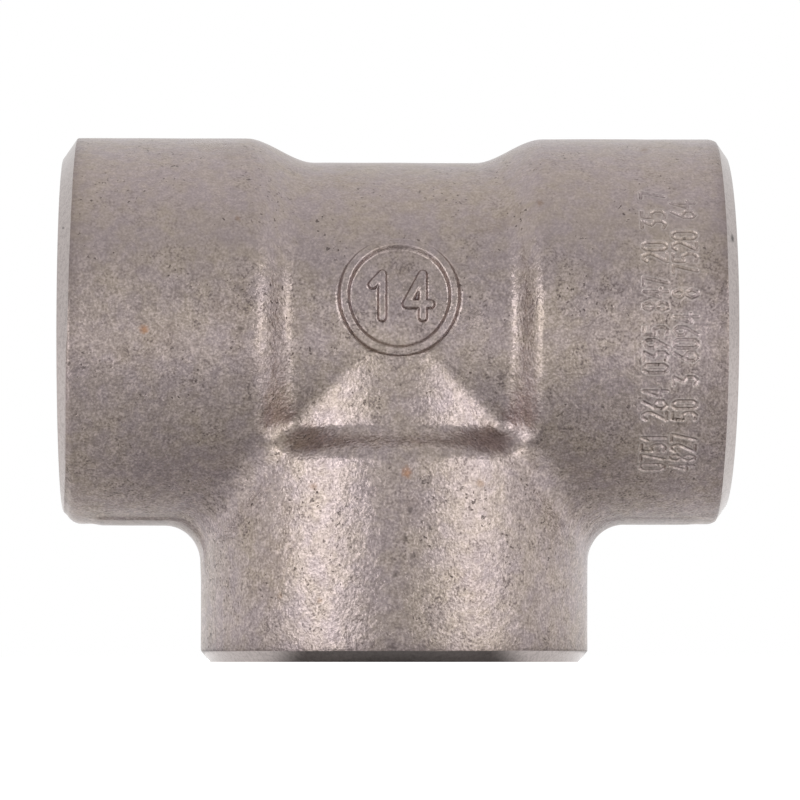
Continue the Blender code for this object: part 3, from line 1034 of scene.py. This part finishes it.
def floor_finish(tree, shader):
    """The floor's colour and glow: what the steel reflects differs from what the camera sees.

    Round the foot a reflected floor has painted shade, and beside it a painted glow, so that the
    turned chamfer has its dark middle and light ends. The glow to the picture grows away from the
    front of the foot and at grazing views.
    """
    vector = object_place(tree)
    from_front = vector_maths(tree, "DISTANCE", vector, FLOOR_SHADOW_CENTRE)["Value"]
    paler = remap(tree, from_front, FLOOR_SHADOW_FADES, (0.0, FLOOR_GLOW))
    grazing = add_node(tree, "ShaderNodeLayerWeight", {"Blend": 0.5}).outputs["Facing"]
    paler = maths(tree, "ADD", paler, remap(tree, grazing, FLOOR_GRAZING, (0.0, FLOOR_GRAZING_GLOW)))
    reflected = add_node(tree, "ShaderNodeLightPath").outputs["Is Glossy Ray"]
    from_foot = vector_maths(tree, "LENGTH", vector)["Value"]
    # Painted shade round the foot, which only reflections show
    crease = maths(tree, "MULTIPLY", remap(tree, from_foot, CREASE_FADES, FALLING), reflected)
    shade = remap(tree, crease, (0.0, 1.0), (FLOOR_SHADE, CREASE_SHADE), False)
    across = maths(tree, "ABSOLUTE", part_of(tree, vector, "X"))
    # A painted glow beside the foot, which only reflections show
    beside = remap(tree, across, BESIDE_FOOT_FROM, (0.0, BESIDE_FOOT_GLOW))
    beside = maths(tree, "MULTIPLY", beside, remap(tree, from_foot, BESIDE_FOOT_FADES, FALLING))
    glow = maths(tree, "MULTIPLY", rays_to_picture(tree), paler)
    glow = maths(tree, "MULTIPLY_ADD", beside, reflected, glow)
    tree.links.new(shade, shader.inputs["Base Color"])
    tree.links.new(glow, shader.inputs["Emission Strength"])


def pale_floor():
    """A plain pale floor under the tee, glossy enough to mirror its foot, with painted shade and glow
    round the foot that only reflections show.
    """
    signs = ((-1, -1), (1, -1), (1, 1), (-1, 1))
    corners = [(x * FLOOR_HALF, y * FLOOR_HALF, 0.0) for x, y in signs]
    mesh = bpy.data.meshes.new("floor")
    mesh.from_pydata(corners, [], [(0, 1, 2, 3)])
    material, tree, shader = new_material("pale floor")
    shader.inputs["Roughness"].default_value = FLOOR_ROUGHNESS
    shader.inputs["IOR"].default_value = FLOOR_IOR
    shader.inputs["Emission Color"].default_value = WHITE
    floor_finish(tree, shader)
    mesh.materials.append(material)
    floor = new_object("floor", mesh)
    return floor


def soft_box(name, azimuth, elevation, distance, size, radiance, in_reflections, only_on):
    """A rectangular lamp that faces the tee. Its power gives the wanted radiance over its area."""
    lamp = bpy.data.lights.new(name, "AREA")
    lamp.shape = "RECTANGLE"
    lamp.size, lamp.size_y = size
    lamp.energy = radiance * math.pi * size[0] * size[1]
    azimuth, elevation = math.radians(azimuth), math.radians(elevation)
    level = distance * math.cos(elevation)
    height = distance * math.sin(elevation) + LAMP_AIM_HEIGHT
    holder = new_object(name, lamp)
    holder.location = (level * math.sin(azimuth), -level * math.cos(azimuth), height)
    holder.rotation_euler = (math.pi / 2 - elevation, 0.0, azimuth)
    holder.visible_glossy = in_reflections
    if only_on:
        receivers = bpy.data.collections.new(name)
        receivers.objects.link(only_on)
        holder.light_linking.receiver_collection = receivers


def studio_lamps(floor):
    """All soft boxes: the floor boxes light only the floor, and the others everything."""
    for name, (*setting, floor_only) in SOFT_BOXES.items():
        soft_box(name, *setting, floor if floor_only else None)


def photograph_camera():
    """Camera low in front, tilted up so that the tee is framed as in the photograph."""
    camera = bpy.data.cameras.new("camera")
    camera.lens = CAMERA_LENS
    camera.sensor_width = CAMERA_SENSOR
    camera.clip_start = CAMERA_CLIP
    holder = new_object("camera", camera)
    sine, cosine = math.sin(CAMERA_AZIMUTH), math.cos(CAMERA_AZIMUTH)
    x = -sine * CAMERA_DISTANCE + cosine * CAMERA_ASIDE
    y = -cosine * CAMERA_DISTANCE - sine * CAMERA_ASIDE
    holder.location = (x, y, CAMERA_HEIGHT)
    holder.rotation_euler = (math.pi / 2 + CAMERA_TILT, 0.0, -CAMERA_AZIMUTH)
    bpy.context.scene.camera = holder


def main():
    """The tee with its plate and its stamped field, then the studio round it."""
    grain = grain_group()
    stains = stain_group()
    forged = forged_steel(grain, stains)
    turned = turned_steel("turned steel", TURNED_STEEL, TURNED_ROUGHNESS, stains)
    threaded = turned_steel("threaded steel", THREADED_STEEL, THREADED_ROUGHNESS)
    bored = turned_steel("bored steel", BORED_STEEL, BORED_ROUGHNESS)
    tee = tee_skin([forged, turned, threaded, bored])
    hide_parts("tee_body")
    plate = raised_plate(forged)
    stamped = stamped_field(forged)
    for piece in (tee, plate, stamped):
        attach(piece, "root")
    white_world()
    studio_lamps(pale_floor())
    photograph_camera()
    bpy.context.scene.view_settings.view_transform = "Standard"


main()
